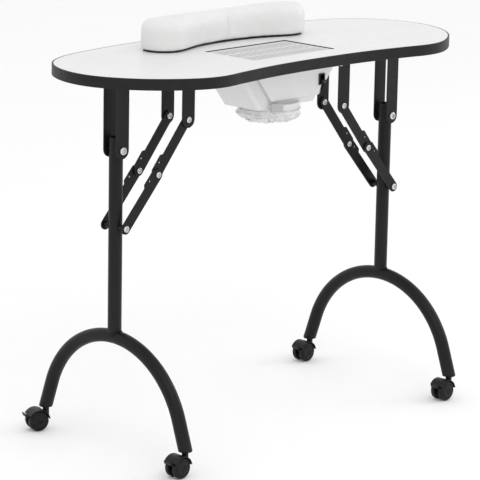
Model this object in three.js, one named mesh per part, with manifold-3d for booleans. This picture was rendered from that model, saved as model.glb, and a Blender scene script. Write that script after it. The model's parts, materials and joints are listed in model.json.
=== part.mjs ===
// Folding manicure table: a kidney-shaped top with a dust collector under it, on two folding
// castor legs. Millimetres, +Z up, X along the top, -Y the concave side where the technician sits.
// The origin is on the floor under the middle of the top.
import * as THREE from 'three';
import { mergeVertices } from 'three/addons/utils/BufferGeometryUtils.js';
import Module from 'manifold-3d';

const wasm = await Module();
wasm.setup();

// ---- driving dimensions ----
const GAP = 0.3; // between pieces that touch
const PIN_GAP = 0.3; // radial, round a bolt or rivet

const TOP_LENGTH = 900;
const TOP_DEPTH = 370;
const TOP_HEIGHT = 700;
const BOARD = 20; // thickness of the laminated board
const BAND = 3; // thickness of the edge band

const UNIT_X = -12; // middle of the grille and the dust collector
const UNIT_Y = -40;
const GRILLE_LENGTH = 210;
const GRILLE_DEPTH = 127;
const GRILLE_PLATE = 2.5;
const GRILLE_SINK = 1.7; // top of the grille below the worktop
const GRILLE_LEDGE = 9; // ledge in the board that carries the grille
const SLOT_WIDTH = 4.2;
const SLOT_LENGTH = 31;
const SLOT_PITCH = 9.6;
const SLOT_ROWS = 3;
const SLOT_ROW_PITCH = 37;
const GRILLE_MARGIN = 11; // solid border round the slots

const WALL = 2.5; // housing walls
const COLLAR_MARGIN = 12; // housing collar beyond the opening in the board
const COLLAR_HEIGHT = 12;
const HOPPER_DEPTH = 77; // front to back, at the wall
const HOPPER_DROP = 77; // underside of the board to the hopper's floor
const HOPPER_FLOOR = 152; // width of the hopper's floor
const HOPPER_SLOPE = 0.78; // run of a side wall for each unit of height
const PANEL = 7; // how far the front panel stands out
const PANEL_START = 46; // left edge of the panel from the hopper's left edge
const PANEL_FOOT = 12; // bottom of the panel above the hopper's floor
const RIB_WIDTH = 15;
const NECK_RADIUS = 56;
const NECK_HEIGHT = 13;
const BAG_RADIUS = 57;
const BAG_DROP = 25;
const SWITCH_WIDTH = 15;
const SWITCH_HEIGHT = 21;
const SWITCH_DEPTH = 14;
const SWITCH_RIM = 2;
const SWITCH_FROM_SIDE = 17; // middle of the switch from the hopper's right edge
const SWITCH_DROP = 37; // middle of the switch below the board
const LATCH_WIDTH = 22;
const LATCH_DEPTH = 5;
const LATCH_RISE = 4; // top of the latch above the neck
const LATCH_ANGLE = THREE.MathUtils.degToRad(-122); // round the neck, from +X
const INLET_RADIUS = 6;
const FAN_RADIUS = 33;
const MOTOR_RADIUS = 15;
const MOTOR_HEIGHT = 24;
const SHAFT_RADIUS = 2;
const FAN_BRACKET = 2.5; // thickness
const BLADES = 5;
const BLADE_CHORD = 18;
const BLADE_THICKNESS = 1.6;
const BLADE_PITCH = THREE.MathUtils.degToRad(24);

const CUSHION_LENGTH = 394;
const CUSHION_DEPTH = 82;
const CUSHION_X = -6; // middle of the cushion
const CUSHION_HEIGHT = 56;
const CUSHION_BASE = 2;
const CUSHION_EDGE = 6; // the pad's upper and lower edges are cut back this much
const CUSHION_GRILLE_GAP = 18; // grille's rear edge to the cushion's front lobes

const TUBE = 25;
const TUBE_WALL = 1.5;
const LEG_INSET = 94.3; // end of the top to the leg's axis
const PIVOT_DROP_LEFT = 146; // worktop to the hinge bolt
const LEG_STAGGER = 23.3; // the right hinge is this much lower, so the folded legs nest
const TUBE_OVER_PIVOT = 23;
const ARCH_RADIUS = 177;
const ARCH_TOP = 214; // axis of the arch at its crown
const ARCH_LEAN = THREE.MathUtils.degToRad(19);
const CASTOR_NECK = 8; // top of the wheels to the lower end of the tube

const STRIP = 2.5; // thickness of brackets and brace arms
const BRACKET_WIDTH = 30;
const HINGE_SIDE_GAP = 2.25; // leg tube to each cheek of the hinge bracket
const BRACE_SIDE = 10.5; // cheek of the brace bracket beyond the hinge bracket's
const BRACE_REACH = 150.6; // hinge bolt to the brace's upper rivet, inboard
const BRACE_RISE = 38.9; // and upward
const BRACE_FOOT = 138.7; // hinge bolt down to the cross pin
const OVER_CENTRE = 2.8; // the middle rivet beyond the straight line when locked
const ARM_WIDTH = 20;
const ARM_TAB = 5; // extra width at the middle joint
const ARM_TAB_LENGTH = 32;
const ARM_GAP = 0.5; // between the two arms' faces
const ARM_SIDE_GAP = 0.75; // upper arm to the brace bracket's cheek
const HINGE_BOLT = 4; // radii
const HINGE_BOLT_HEAD = 7.2;
const CROSS_PIN = 4;
const CROSS_PIN_HEAD = 6;
const RIVET = 3;
const RIVET_HEAD = 5.7;
const SPACER = 6;
const HINGE_BOLT_CAP = 4; // heights of the heads
const CROSS_PIN_CAP = 3;
const RIVET_CAP = 2.4;

const WHEEL_RADIUS = 19;
const WHEEL_WIDTH = 10;
const WHEEL_GAP = 10; // between the two wheels
const AXLE = 3;
const TRAIL = 18;
const HOOD = 2; // shell thickness
const HOOD_CLEAR = 0.8; // hood to tread
const NECK = 6; // castor neck radius
const STEM = 4;
const STEM_LENGTH = 12;
const INSERT_FLANGE = 2;
const REAR_LEFT_SWIVEL = THREE.MathUtils.degToRad(-19); // this castor stands turned
const BRAKE_LENGTH = 9;
const BRAKE_LIFT = THREE.MathUtils.degToRad(25); // the lever points this far above level
const BRAKE_LIP = 2; // the tip turns up this much
const BRAKE_CLEAR = 0.6; // lever to the hood's inner face
const BRAKE_WIDTH = 16;
const BRAKE_THICKNESS = 4;

// ---- values that follow ----
const BOARD_UNDER = TOP_HEIGHT - BOARD;
const LEG_X = TOP_LENGTH / 2 - LEG_INSET;
const NECK_TOP = BOARD_UNDER - HOPPER_DROP + 5;
const NECK_UNDER = NECK_TOP - NECK_HEIGHT;
const HOPPER_BOTTOM = BOARD_UNDER - HOPPER_DROP;
const HINGE_SPACING = TUBE + STRIP + 2 * HINGE_SIDE_GAP; // between the middles of the cheeks
const BRACE_SPACING = HINGE_SPACING + 2 * BRACE_SIDE;
const ARM_FACE = BRACE_SPACING / 2 - STRIP / 2 - ARM_SIDE_GAP; // outer face of the upper arms
const ARCH_END = 2 * WHEEL_RADIUS + CASTOR_NECK; // lower end of the tube above the floor

// ---- materials ----
const finish = (color, roughness, metalness = 0) =>
  new THREE.MeshStandardMaterial({ color, roughness, metalness });
const LAMINATE = finish(0xeeeeec, 0.4);
const BLACK_EDGE = finish(0x141415, 0.45);
const GRILLE_GREY = finish(0xc9cacb, 0.5);
const WHITE_PLASTIC = finish(0xdfe0e0, 0.45);
const BLACK_PLASTIC = finish(0x18181a, 0.4);
const BLACK_STEEL = finish(0x1c1c1e, 0.5, 0.3);
const BRIGHT_STEEL = finish(0xc8c9cb, 0.3, 1);
const WHITE_VINYL = finish(0xf2f2f0, 0.5);
const WHITE_CLOTH = finish(0xe9e9e7, 0.9);
const GREY_MOTOR = finish(0x8d9094, 0.4, 0.8);

// ---- solids ----
function solid(geometry) {
  const bare = geometry.index ? geometry.toNonIndexed() : geometry.clone();
  bare.deleteAttribute('normal');
  bare.deleteAttribute('uv');
  const merged = mergeVertices(bare, 1e-4);
  return new wasm.Manifold(new wasm.Mesh({
    numProp: 3,
    vertProperties: merged.attributes.position.array,
    triVerts: new Uint32Array(merged.index.array),
  }));
}

function geometryOf(manifold) {
  const mesh = manifold.getMesh();
  const geometry = new THREE.BufferGeometry();
  geometry.setAttribute('position', new THREE.BufferAttribute(mesh.vertProperties, 3));
  geometry.setIndex(new THREE.BufferAttribute(mesh.triVerts, 1));
  return geometry;
}

const join = (...geometries) => geometryOf(geometries.map(solid).reduce((a, b) => a.add(b)));
const cut = (body, ...tools) =>
  geometryOf(tools.map(solid).reduce((a, b) => a.subtract(b), solid(body)));

// A plate with its outline in XY, standing from z = low.
function plate(shape, thickness, low = 0, curveSegments = 12) {
  const options = { depth: thickness, bevelEnabled: false, curveSegments };
  return new THREE.ExtrudeGeometry(shape, options).translate(0, 0, low);
}

// A plate with its outline in X and Z, from y = near to y = near + thickness.
function uprightPlate(shape, thickness, near, curveSegments = 8) {
  return plate(shape, thickness, 0, curveSegments)
    .rotateX(Math.PI / 2)
    .translate(0, near + thickness, 0);
}

function block(x0, x1, y0, y1, z0, z1) {
  return new THREE.BoxGeometry(x1 - x0, y1 - y0, z1 - z0)
    .translate((x0 + x1) / 2, (y0 + y1) / 2, (z0 + z1) / 2);
}

// A round solid about +Z from a list of [radius, height] going up.
function turned(profile, segments = 16) {
  const points = profile.map(([r, z]) => new THREE.Vector2(r, z));
  return new THREE.LatheGeometry(points, segments).rotateX(Math.PI / 2);
}

const rod = (radius, low, high, segments = 16) =>
  turned([[0, low], [radius, low], [radius, high], [0, high]], segments);

// The same about +Y.
const alongY = (geometry) => geometry.rotateX(-Math.PI / 2);

function polygon(points) {
  return new THREE.Shape(points.map(([x, y]) => new THREE.Vector2(x, y)));
}

function roundedRectangle(width, depth, radius, x = 0, y = 0) {
  const [w, d] = [width / 2 - radius, depth / 2 - radius];
  const shape = new THREE.Shape();
  shape.absarc(x + w, y + d, radius, 0, Math.PI / 2);
  shape.absarc(x - w, y + d, radius, Math.PI / 2, Math.PI);
  shape.absarc(x - w, y - d, radius, Math.PI, 1.5 * Math.PI);
  shape.absarc(x + w, y - d, radius, 1.5 * Math.PI, 2 * Math.PI);
  return shape;
}

function circle(radius, x = 0, y = 0) {
  const path = new THREE.Path();
  path.absarc(x, y, radius, 0, 2 * Math.PI);
  return path;
}

// A smooth closed outline, mirrored in X, through [x share, y share] points from the rear middle
// round the +X end to the front middle.
function mirroredOutline(points, halfLength, halfDepth, samples) {
  const right = points.map(([x, y]) => new THREE.Vector3(x * halfLength, y * halfDepth, 0));
  const left = right.slice(1, -1).reverse().map((p) => new THREE.Vector3(-p.x, p.y, 0));
  const curve = new THREE.CatmullRomCurve3([...right, ...left], true, 'centripetal');
  return curve.getSpacedPoints(samples).slice(0, -1).map((p) => new THREE.Vector2(p.x, p.y));
}

// The outline moved inward along its own normals.
function inset(outline, distance) {
  const count = outline.length;
  return outline.map((point, i) => {
    const before = outline[(i + count - 1) % count];
    const after = outline[(i + 1) % count];
    const along = after.clone().sub(before).normalize();
    return new THREE.Vector2(point.x + along.y * distance, point.y - along.x * distance);
  });
}

const table = new THREE.Group();

function add(parent, name, geometry, material) {
  const mesh = new THREE.Mesh(geometry, material);
  mesh.name = name;
  parent.add(mesh);
  return mesh;
}

// ---- worktop ----
const TOP_OUTLINE = [
  [0, 1], [0.333, 0.98], [0.6, 0.914], [0.778, 0.811], [0.9, 0.622], [0.974, 0.335], [1, 0],
  [0.972, -0.314], [0.872, -0.665], [0.711, -0.935], [0.6, -0.99], [0.478, -0.946],
  [0.267, -0.876], [0, -0.851],
];

const RIM_SAMPLES = 96;
const GRILLE_CORNER = 4;

function worktop() {
  const rim = mirroredOutline(TOP_OUTLINE, TOP_LENGTH / 2, TOP_DEPTH / 2, RIM_SAMPLES).reverse();
  const inner = inset(rim, -BAND);
  const band = new THREE.Shape(rim);
  band.holes.push(new THREE.Path(inner));
  add(table, 'edge_band', plate(band, BOARD, BOARD_UNDER), BLACK_EDGE);

  const board = new THREE.Shape(inset(rim, -BAND - GAP));
  const open = 2 * GRILLE_LEDGE;
  board.holes.push(roundedRectangle(
    GRILLE_LENGTH - open, GRILLE_DEPTH - open, GRILLE_CORNER, UNIT_X, UNIT_Y));
  const seat = roundedRectangle(
    GRILLE_LENGTH + 2 * GAP, GRILLE_DEPTH + 2 * GAP, GRILLE_CORNER, UNIT_X, UNIT_Y);
  const seatDepth = GRILLE_SINK + GRILLE_PLATE + GAP;
  const body = cut(
    plate(board, BOARD, BOARD_UNDER, 4), plate(seat, BOARD, TOP_HEIGHT - seatDepth, 4));
  add(table, 'tabletop_board', body, LAMINATE);
}

function grille() {
  const top = TOP_HEIGHT - GRILLE_SINK;
  const low = top - GRILLE_PLATE;
  const room = GRILLE_LENGTH - 2 * GRILLE_MARGIN - SLOT_WIDTH;
  const count = Math.floor(room / SLOT_PITCH) + 1;
  const [w, d] = [SLOT_WIDTH / 2, SLOT_LENGTH / 2];
  const slots = [];
  for (let row = 0; row < SLOT_ROWS; row += 1) {
    const y = (row - (SLOT_ROWS - 1) / 2) * SLOT_ROW_PITCH;
    for (let i = 0; i < count; i += 1) {
      const x = (i - (count - 1) / 2) * SLOT_PITCH;
      slots.push(block(x - w, x + w, y - d, y + d, low - 1, top + 1));
    }
  }
  const outline = roundedRectangle(GRILLE_LENGTH, GRILLE_DEPTH, GRILLE_CORNER);
  const body = cut(plate(outline, GRILLE_PLATE, low, 4), ...slots);
  add(table, 'grille_cover', body.translate(UNIT_X, UNIT_Y, 0), GRILLE_GREY);
}

// ---- dust collector ----
// Width of the hopper at a height, between the outer faces of its side walls.
const hopperWidth = (z) => HOPPER_FLOOR + 2 * HOPPER_SLOPE * (z - HOPPER_BOTTOM);

function hopperBlock(low, high, thinner, depth) {
  const [a, b] = [hopperWidth(low) / 2 - thinner, hopperWidth(high) / 2 - thinner];
  const side = polygon([[-a, low], [a, low], [b, high], [-b, high]]);
  return uprightPlate(side, depth, -depth / 2);
}

const switchX = hopperWidth(BOARD_UNDER - SWITCH_DROP) / 2 - SWITCH_FROM_SIDE;
const switchZ = BOARD_UNDER - SWITCH_DROP;
const panelBack = -HOPPER_DEPTH / 2 - GAP;
const inletX = HOPPER_FLOOR / 4;

function housing(unit) {
  const collarTop = BOARD_UNDER - GAP;
  const collarUnder = collarTop - COLLAR_HEIGHT;
  const collarLength = Math.max(
    GRILLE_LENGTH - 2 * GRILLE_LEDGE + 2 * COLLAR_MARGIN, hopperWidth(collarUnder) + 2 * WALL);
  const collarDepth = Math.max(GRILLE_DEPTH, HOPPER_DEPTH) + COLLAR_MARGIN;
  const ribFoot = hopperWidth(HOPPER_BOTTOM) / 2;
  const ribHead = hopperWidth(collarUnder) / 2;
  const rib = polygon([
    [-ribFoot, HOPPER_BOTTOM], [-ribFoot + RIB_WIDTH, HOPPER_BOTTOM],
    [-ribHead + RIB_WIDTH, collarUnder], [-ribHead, collarUnder],
  ]);
  const outer = join(
    plate(roundedRectangle(collarLength, collarDepth, 10), COLLAR_HEIGHT, collarUnder, 3),
    hopperBlock(HOPPER_BOTTOM, collarUnder + 1, 0, HOPPER_DEPTH),
    uprightPlate(rib, PANEL + 1, -HOPPER_DEPTH / 2 - PANEL),
    rod(NECK_RADIUS, NECK_UNDER, NECK_TOP, 40),
  );
  const holeDepth = SWITCH_DEPTH + PANEL;
  const body = cut(
    outer,
    plate(roundedRectangle(collarLength - 2 * WALL, collarDepth - 2 * WALL, 8),
      COLLAR_HEIGHT, collarUnder + WALL, 3),
    hopperBlock(HOPPER_BOTTOM + WALL, collarUnder + WALL + 1, 1.3 * WALL, HOPPER_DEPTH - 2 * WALL),
    rod(NECK_RADIUS - WALL, NECK_UNDER - 1, NECK_TOP - WALL, 40),
    rod(FAN_RADIUS + 2, HOPPER_BOTTOM - 1, HOPPER_BOTTOM + 2 * WALL, 24),
    block(switchX - SWITCH_WIDTH / 2, switchX + SWITCH_WIDTH / 2,
      panelBack, panelBack + holeDepth, switchZ - SWITCH_HEIGHT / 2, switchZ + SWITCH_HEIGHT / 2),
    alongY(rod(INLET_RADIUS + GAP, 0, HOPPER_DEPTH, 12)).translate(inletX, 0, switchZ),
  );
  add(unit, 'collector_housing', body, WHITE_PLASTIC);
}

function frontPanel(unit) {
  const foot = HOPPER_BOTTOM + PANEL_FOOT;
  const head = BOARD_UNDER - GAP - COLLAR_HEIGHT - GAP;
  const shape = polygon([
    [-hopperWidth(foot) / 2 + PANEL_START, foot], [hopperWidth(foot) / 2, foot],
    [hopperWidth(head) / 2, head], [-hopperWidth(head) / 2 + PANEL_START, head],
  ]);
  const [w, h] = [SWITCH_WIDTH / 2 - 1 + GAP, SWITCH_HEIGHT / 2 - 1 + GAP];
  shape.holes.push(polygon([
    [switchX - w, switchZ - h], [switchX - w, switchZ + h],
    [switchX + w, switchZ + h], [switchX + w, switchZ - h],
  ]));
  const thickness = PANEL - GAP;
  add(unit, 'collector_front_panel', uprightPlate(shape, thickness, panelBack - thickness),
    WHITE_PLASTIC);
}

function collarLatch(unit) {
  const [w, near] = [LATCH_WIDTH / 2, NECK_RADIUS - LATCH_DEPTH];
  const body = block(-w, w, -NECK_RADIUS - LATCH_DEPTH, -near, NECK_UNDER + 1, NECK_TOP + LATCH_RISE)
    .rotateZ(LATCH_ANGLE + Math.PI / 2);
  const round = rod(NECK_RADIUS + GAP, NECK_UNDER - 1, NECK_TOP + 2 * LATCH_RISE, 40);
  const front = HOPPER_DEPTH / 2 + PANEL + GAP;
  const hopper = block(-HOPPER_FLOOR, HOPPER_FLOOR, -front, front, HOPPER_BOTTOM - GAP, BOARD_UNDER);
  add(unit, 'bag_collar_latch', cut(body, round, hopper), GRILLE_GREY);
}

function rockerSwitch(unit) {
  const face = panelBack - (PANEL - GAP) - GAP;
  const [w, h] = [SWITCH_WIDTH / 2, SWITCH_HEIGHT / 2];
  const [x, z] = [switchX, switchZ];
  const bezel = cut(
    join(
      block(x - w, x + w, face - SWITCH_RIM, face, z - h, z + h),
      block(x - w + 1, x + w - 1, face - 1, face + SWITCH_DEPTH, z - h + 1, z + h - 1),
    ),
    block(x - w + 2, x + w - 2, face - 2 * SWITCH_RIM, face + 9, z - h + 2, z + h - 2),
  );
  add(unit, 'switch_bezel', bezel, BLACK_PLASTIC);

  const half = h - 2.6;
  const profile = polygon([
    [-half, -1.5], [0, 0.6], [half, -1.5], [half, -2.3], [2.5, -6], [-2.5, -6], [-half, -2.3],
  ]);
  const width = SWITCH_WIDTH - 5;
  const rocker = plate(profile, width, -width / 2)
    .rotateY(Math.PI / 2)
    .rotateX(Math.PI / 2)
    .rotateX(THREE.MathUtils.degToRad(8));
  const mesh = add(unit, 'switch_rocker', rocker, BLACK_PLASTIC);
  mesh.position.set(x, face - SWITCH_RIM, z);
}

function powerInlet(unit) {
  const r = INLET_RADIUS;
  const socket = turned([
    [0, -8], [r, -8], [r, GAP], [r + 2, GAP], [r + 2, 2.5], [r - 2, 2.5], [r - 2, -6], [0, -6],
  ], 16);
  const mesh = add(unit, 'power_inlet', alongY(socket), BLACK_PLASTIC);
  mesh.position.set(inletX, HOPPER_DEPTH / 2, switchZ);
}

function fan(unit) {
  const floor = HOPPER_BOTTOM + WALL + GAP;
  const shape = roundedRectangle(
    2 * FAN_RADIUS + 30, HOPPER_DEPTH - 2 * WALL - 2 * GAP, 5);
  const [inner, outer] = [MOTOR_RADIUS - 4, FAN_RADIUS];
  for (let i = 0; i < 4; i += 1) {
    const [from, to] = [i * Math.PI / 2 + 0.2, (i + 1) * Math.PI / 2 - 0.2];
    const hole = new THREE.Path();
    hole.absarc(0, 0, outer, from, to, false);
    hole.absarc(0, 0, inner, to - 0.25, from + 0.25, true);
    shape.holes.push(hole);
  }
  const bracketTop = floor + FAN_BRACKET;
  add(unit, 'fan_bracket', plate(shape, FAN_BRACKET, floor, 3), GREY_MOTOR);

  const motorTop = bracketTop + GAP + MOTOR_HEIGHT;
  const motor = turned([
    [0, bracketTop + GAP], [MOTOR_RADIUS, bracketTop + GAP], [MOTOR_RADIUS, motorTop - 3],
    [MOTOR_RADIUS - 3, motorTop], [SHAFT_RADIUS, motorTop], [SHAFT_RADIUS, motorTop + 12],
    [0, motorTop + 12],
  ], 20);
  add(unit, 'fan_motor', motor, GREY_MOTOR);

  const hubLow = motorTop + 1.5;
  const hub = turned([
    [SHAFT_RADIUS + PIN_GAP, hubLow], [9, hubLow], [9, hubLow + 9],
    [SHAFT_RADIUS + PIN_GAP, hubLow + 9], [SHAFT_RADIUS + PIN_GAP, hubLow],
  ], 16);
  const blades = [];
  const [c, t] = [BLADE_CHORD / 2, BLADE_THICKNESS / 2];
  for (let i = 0; i < BLADES; i += 1) {
    const blade = block(8, FAN_RADIUS, -c, c, -t, t).rotateX(BLADE_PITCH);
    blades.push(blade.translate(0, 0, hubLow + 4.5).rotateZ(i * 2 * Math.PI / BLADES));
  }
  const bore = rod(SHAFT_RADIUS + PIN_GAP, hubLow - 5, hubLow + 15, 16);
  add(unit, 'fan_impeller', cut(join(hub, ...blades), bore), BLACK_PLASTIC);
}

function dustBag(unit) {
  const top = NECK_UNDER - GAP;
  const bag = turned([
    [0, top - BAG_DROP], [BAG_RADIUS - 16, top - BAG_DROP],
    [BAG_RADIUS - 4, top - BAG_DROP * 0.72], [BAG_RADIUS, top - BAG_DROP * 0.4],
    [BAG_RADIUS - 4, top], [0, top],
  ], 32);
  add(unit, 'dust_bag', bag, WHITE_CLOTH);
}

function dustCollector() {
  const unit = new THREE.Group();
  unit.position.set(UNIT_X, UNIT_Y, 0);
  table.add(unit);
  housing(unit);
  frontPanel(unit);
  collarLatch(unit);
  rockerSwitch(unit);
  powerInlet(unit);
  fan(unit);
  dustBag(unit);
}

// ---- wrist cushion ----
const CUSHION_OUTLINE = [
  [0, 1], [0.5, 1], [0.84, 0.95], [0.97, 0.6], [1, 0], [0.945, -0.61], [0.8, -0.95],
  [0.63, -0.78], [0.43, -0.44], [0.2, -0.25], [0, -0.2],
];

function cushion() {
  const y = UNIT_Y + GRILLE_DEPTH / 2 + CUSHION_GRILLE_GAP + CUSHION_DEPTH / 2;
  const outline = mirroredOutline(
    CUSHION_OUTLINE, CUSHION_LENGTH / 2, CUSHION_DEPTH / 2, 44).reverse();
  const base = plate(new THREE.Shape(inset(outline, -3)), CUSHION_BASE, TOP_HEIGHT + GAP);
  add(table, 'cushion_base', base.translate(CUSHION_X, y, 0), BLACK_PLASTIC);

  const options = {
    depth: CUSHION_HEIGHT - 2 * CUSHION_EDGE,
    bevelThickness: CUSHION_EDGE,
    bevelSize: CUSHION_EDGE,
    bevelOffset: -CUSHION_EDGE,
    bevelSegments: 1,
  };
  const pad = new THREE.ExtrudeGeometry(new THREE.Shape(outline), options)
    .translate(CUSHION_X, y, TOP_HEIGHT + CUSHION_BASE + 2 * GAP + CUSHION_EDGE);
  add(table, 'wrist_cushion', pad, WHITE_VINYL);
}

// ---- legs ----
// Axis of the bent tube in the YZ plane: an arc with a straight length on each end.
class ArchAxis extends THREE.Curve {
  constructor(low) {
    super();
    this.centre = ARCH_TOP - ARCH_RADIUS;
    this.arc = ARCH_RADIUS * (Math.PI - 2 * ARCH_LEAN);
    const drop = this.centre + ARCH_RADIUS * Math.sin(ARCH_LEAN) - low;
    this.straight = drop / Math.cos(ARCH_LEAN);
  }

  getPoint(t, target = new THREE.Vector3()) {
    const s = t * (this.arc + 2 * this.straight) - this.straight;
    const along = THREE.MathUtils.clamp(s, 0, this.arc);
    const angle = ARCH_LEAN + along / ARCH_RADIUS;
    const extra = s - along;
    const y = ARCH_RADIUS * Math.cos(angle) - extra * Math.sin(angle);
    const z = this.centre + ARCH_RADIUS * Math.sin(angle) + extra * Math.cos(angle);
    return target.set(0, y, z);
  }
}

const ARCH_STEPS = 18;
const TUBE_SIDES = 16; // outer face
const BORE_SIDES = 8; // inner face

function ringSection(outer, inner) {
  const section = new THREE.Shape(circle(outer).getPoints(TUBE_SIDES / 2).slice(0, -1));
  const bore = circle(inner).getPoints(BORE_SIDES / 2).slice(0, -1);
  if (inner > 0) section.holes.push(new THREE.Path(bore));
  return section;
}

function archTube(radius, inner, low) {
  const section = ringSection(radius, inner);
  const options = { steps: ARCH_STEPS, extrudePath: new ArchAxis(low), bevelEnabled: false };
  return new THREE.ExtrudeGeometry(section, options);
}

function legTubes(leg, side, pivotZ) {
  const spread = ARCH_RADIUS * 3;
  const under = block(-spread, spread, -spread, spread, -spread, ARCH_END);
  const arch = cut(archTube(TUBE / 2, TUBE / 2 - TUBE_WALL, ARCH_END - TUBE), under);
  add(leg, `${side}_leg_arch`, arch, BLACK_STEEL);

  const length = pivotZ + TUBE_OVER_PIVOT - ARCH_TOP;
  const upright = cut(
    plate(ringSection(TUBE / 2, TUBE / 2 - TUBE_WALL), length, ARCH_TOP),
    archTube(TUBE / 2 + GAP, 0, ARCH_END),
    alongY(rod(HINGE_BOLT + PIN_GAP, -TUBE, TUBE, 12)).translate(0, 0, pivotZ),
    alongY(rod(CROSS_PIN + PIN_GAP, -TUBE, TUBE, 12)).translate(0, 0, pivotZ - BRACE_FOOT),
  );
  add(leg, `${side}_leg_upright`, upright, BLACK_STEEL);
}

// A bracket bent from sheet: two cheeks hanging from a web under the board.
function bracket(spacing, drop, holeRadius) {
  const half = BRACKET_WIDTH / 2;
  const cheek = new THREE.Shape();
  cheek.moveTo(-half, drop);
  cheek.lineTo(-half, 0);
  cheek.absarc(0, 0, half, Math.PI, 2 * Math.PI);
  cheek.lineTo(half, drop);
  cheek.holes.push(circle(holeRadius));
  const outer = spacing / 2 + STRIP / 2;
  return join(
    uprightPlate(cheek, STRIP, -outer, 6),
    uprightPlate(cheek, STRIP, outer - STRIP, 6),
    block(-half, half, -outer, outer, drop - STRIP, drop),
  );
}

// A bolt along Y with a head at the low end and a nut at the high end.
function throughBolt(reach) {
  const [radius, head] = [HINGE_BOLT, HINGE_BOLT_HEAD];
  const end = reach + HINGE_BOLT_CAP;
  return alongY(turned([
    [0, -end], [head * 0.7, -end], [head, (-end - reach) / 2],
    [head, -reach], [radius, -reach], [radius, reach], [head, reach],
    [head, end], [0, end],
  ], 10));
}

function crossPin() {
  const [near, far] = [TUBE / 2 + GAP, ARM_FACE + ARM_GAP - GAP];
  const tip = far + STRIP + 2 * GAP;
  const head = CROSS_PIN_HEAD;
  const end = tip + CROSS_PIN_CAP;
  const shoulder = (tip + end) / 2;
  return alongY(turned([
    [0, -end], [head * 0.7, -end], [head, -shoulder], [head, -tip], [CROSS_PIN, -tip],
    [CROSS_PIN, -far], [SPACER, -far], [SPACER, -near], [CROSS_PIN, -near],
    [CROSS_PIN, near], [SPACER, near], [SPACER, far], [CROSS_PIN, far],
    [CROSS_PIN, tip], [head, tip], [head, shoulder], [head * 0.7, end], [0, end],
  ], 10));
}

// Outline of a brace arm with its far pivot at the origin and the middle joint at x = length.
function armOutline(length, tabSide) {
  const half = ARM_WIDTH / 2;
  const from = length - ARM_TAB_LENGTH;
  const shape = new THREE.Shape();
  shape.absarc(0, 0, half, Math.PI / 2, 1.5 * Math.PI);
  if (tabSide < 0) {
    shape.lineTo(from - ARM_TAB, -half);
    shape.lineTo(from, -half - ARM_TAB);
    shape.lineTo(length, -half - ARM_TAB);
    shape.lineTo(length + half, -half + ARM_TAB);
  }
  shape.absarc(length, 0, half, tabSide < 0 ? 0 : -Math.PI / 2, tabSide > 0 ? 0 : Math.PI / 2);
  if (tabSide > 0) {
    shape.lineTo(length + half, half - ARM_TAB);
    shape.lineTo(length, half + ARM_TAB);
    shape.lineTo(from, half + ARM_TAB);
    shape.lineTo(from - ARM_TAB, half);
  }
  return shape;
}

function braceArm(from, to, near, tabSide, farHole, middleHole) {
  const length = from.distanceTo(to);
  const shape = armOutline(length, tabSide);
  shape.holes.push(circle(farHole + PIN_GAP));
  shape.holes.push(circle(middleHole + PIN_GAP, length, 0));
  shape.holes.push(circle(2, length - 20, tabSide * (ARM_WIDTH / 2 - 1)));
  const angle = Math.atan2(to.y - from.y, to.x - from.x);
  return uprightPlate(shape, STRIP, near, 5).rotateY(-angle).translate(from.x, 0, from.y);
}

// A rivet along Y: a shank from y = 0 to y = grip and a head past each end that is headed.
function rivet(grip, outerHead, innerHead) {
  const [r, head, cap] = [RIVET, RIVET_HEAD, RIVET_CAP];
  const domed = [[0, cap], [head * 0.7, cap], [head, cap * 0.4], [head, 0], [r, 0]];
  const flat = [[0, 0], [r, 0]];
  const inner = (innerHead ? domed : flat).map(([radius, rise]) => [radius, -rise]);
  const outer = (outerHead ? domed : flat).map(([radius, rise]) => [radius, grip + rise]).reverse();
  return alongY(turned([...inner, ...outer], 10));
}

function place(parent, name, geometry, material, x, y, z) {
  add(parent, name, geometry, material).position.set(x, y, z);
}

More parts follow.
